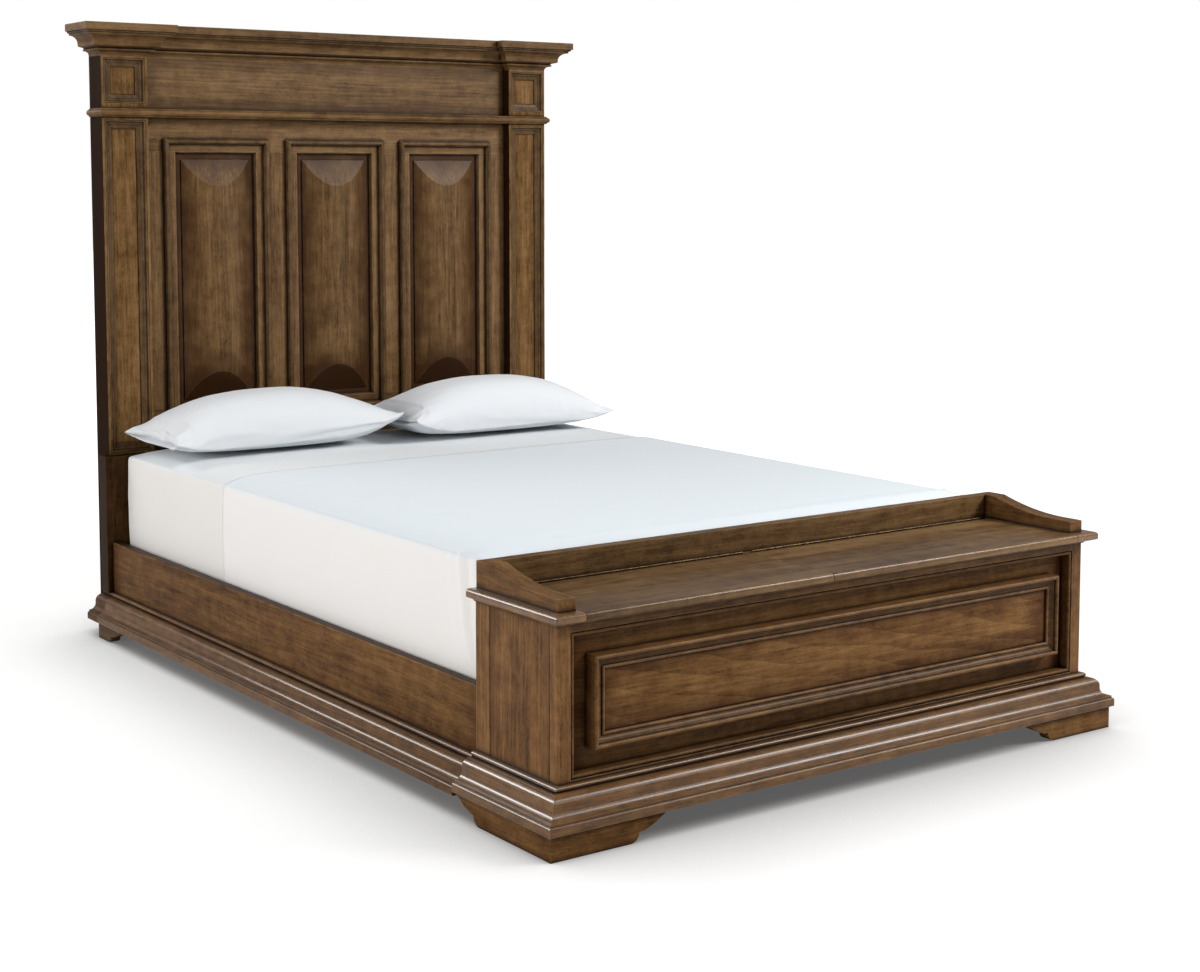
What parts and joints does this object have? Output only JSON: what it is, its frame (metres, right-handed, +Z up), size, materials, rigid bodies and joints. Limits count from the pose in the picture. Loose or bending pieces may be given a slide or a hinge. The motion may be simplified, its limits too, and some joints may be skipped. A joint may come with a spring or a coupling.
{
  "type": "storage bed",
  "caption": "Panelled wooden bed with a tall corniced headboard, moulded side rails and a lidded bench chest as its footboard, made up with white bedding.",
  "frame": {"origin": "centre of the bed's footprint, on the floor", "axes": "+Z up, +Y from the bench chest at the foot towards the headboard, +X to the right of someone who faces the headboard from the foot"},
  "size_m": [1.738, 2.563, 1.842],
  "materials": {
    "antiqued_wood": "warm brown wood under an antiquing glaze, satin",
    "dark_moulding": "the same wood with heavier dark glaze, satin",
    "plain_wood": "plain pale wood and plywood, unfinished",
    "bracket_steel": "zinc-plated steel, dull",
    "hinge_brass": "antiqued brass, satin",
    "bumper_felt": "brown felt",
    "bed_linen": "white woven cotton, matt"
  },
  "bodies": {
    "bed": {"left_post": "antiqued_wood", "right_post": "antiqued_wood", "pilaster_mouldings": "dark_moulding", "left_plinth": "antiqued_wood", "right_plinth": "antiqued_wood", "cornice_left_block": "antiqued_wood", "cornice_centre": "antiqued_wood", "cornice_right_block": "antiqued_wood", "frieze_board": "antiqued_wood", "astragal": "antiqued_wood", "headboard_top_rail": "antiqued_wood", "headboard_bottom_rail": "antiqued_wood", "headboard_stiles": "antiqued_wood", "left_raised_panel": "antiqued_wood", "centre_raised_panel": "antiqued_wood", "right_raised_panel": "antiqued_wood", "panel_mouldings": "dark_moulding", "headboard_back": "plain_wood", "head_base_returns": "antiqued_wood", "head_feet": "antiqued_wood", "left_rail": "antiqued_wood", "right_rail": "antiqued_wood", "left_rail_moulding": "antiqued_wood", "right_rail_moulding": "antiqued_wood", "ledgers": "plain_wood", "slats": "plain_wood", "centre_beam": "plain_wood", "centre_legs": "dark_moulding", "leg_glides": "bracket_steel", "rail_brackets": "bracket_steel", "chest_posts": "antiqued_wood", "chest_side_panels": "antiqued_wood", "chest_front_rails": "antiqued_wood", "front_bead_frame": "dark_moulding", "front_board": "antiqued_wood", "front_moulding": "dark_moulding", "inset_panel": "antiqued_wood", "chest_back": "antiqued_wood", "chest_bottom": "plain_wood", "chest_divider": "plain_wood", "base_moulding_front": "antiqued_wood", "base_moulding_sides": "antiqued_wood", "chest_feet": "antiqued_wood", "bench_top_frame": "dark_moulding", "bench_rear_strip": "antiqued_wood", "end_caps": "antiqued_wood", "gallery_back": "antiqued_wood", "gallery_arms": "antiqued_wood", "lid_bumpers": "bumper_felt", "hinge_fixed_leaves": "hinge_brass", "hinge_pins": "bracket_steel", "mattress": "bed_linen", "top_sheet": "bed_linen", "left_pillow": "bed_linen", "right_pillow": "bed_linen"},
    "left_lid": {"left_lid": "antiqued_wood", "left_hinge_leaf": "hinge_brass"},
    "right_lid": {"right_lid": "antiqued_wood", "right_hinge_leaf": "hinge_brass"}
  },
  "joints": [
    {"name": "left_lid_hinge", "type": "hinge", "parent": "bed", "child": "left_lid", "pos_m": [-0.4078, -0.9485, 0.5027], "axis": [-1, 0, 0], "range_deg": [0, 85]},
    {"name": "right_lid_hinge", "type": "hinge", "parent": "bed", "child": "right_lid", "pos_m": [0.3408, -0.9485, 0.5027], "axis": [-1, 0, 0], "range_deg": [0, 85]}
  ]
}
